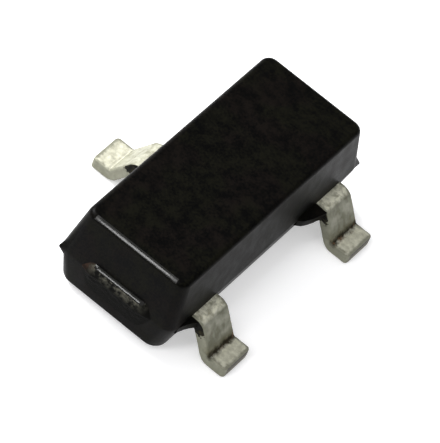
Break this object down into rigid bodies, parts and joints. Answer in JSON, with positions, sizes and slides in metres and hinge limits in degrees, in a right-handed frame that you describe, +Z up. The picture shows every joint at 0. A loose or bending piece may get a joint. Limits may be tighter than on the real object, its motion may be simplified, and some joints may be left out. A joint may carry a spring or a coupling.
{
  "type": "surface-mount zener diode",
  "caption": "Zener diode in a black moulded surface-mount package with tinned gull-wing leads, a die on a pad and a gold bond wire inside.",
  "frame": {"origin": "on the circuit board's surface, under the middle of the body", "axes": "+X towards the side with two leads, +Y along the body away from the end with the gate scar, +Z up from the board"},
  "size_m": [0.0022, 0.003, 0.0009],
  "materials": {
    "moulding_compound": "black filled epoxy, fine matte mould finish",
    "tin_plating": "matte tin plating over copper alloy",
    "silicon": "dark polished silicon",
    "die_adhesive": "silver-filled epoxy",
    "gold": "drawn gold wire"
  },
  "bodies": {
    "root": {"body": "moulding_compound", "lead_cathode": "tin_plating", "lead_anode": "tin_plating", "lead_unconnected": "tin_plating", "zener_die": "silicon", "die_attach": "die_adhesive", "bond_wire": "gold"}
  },
  "joints": []
}
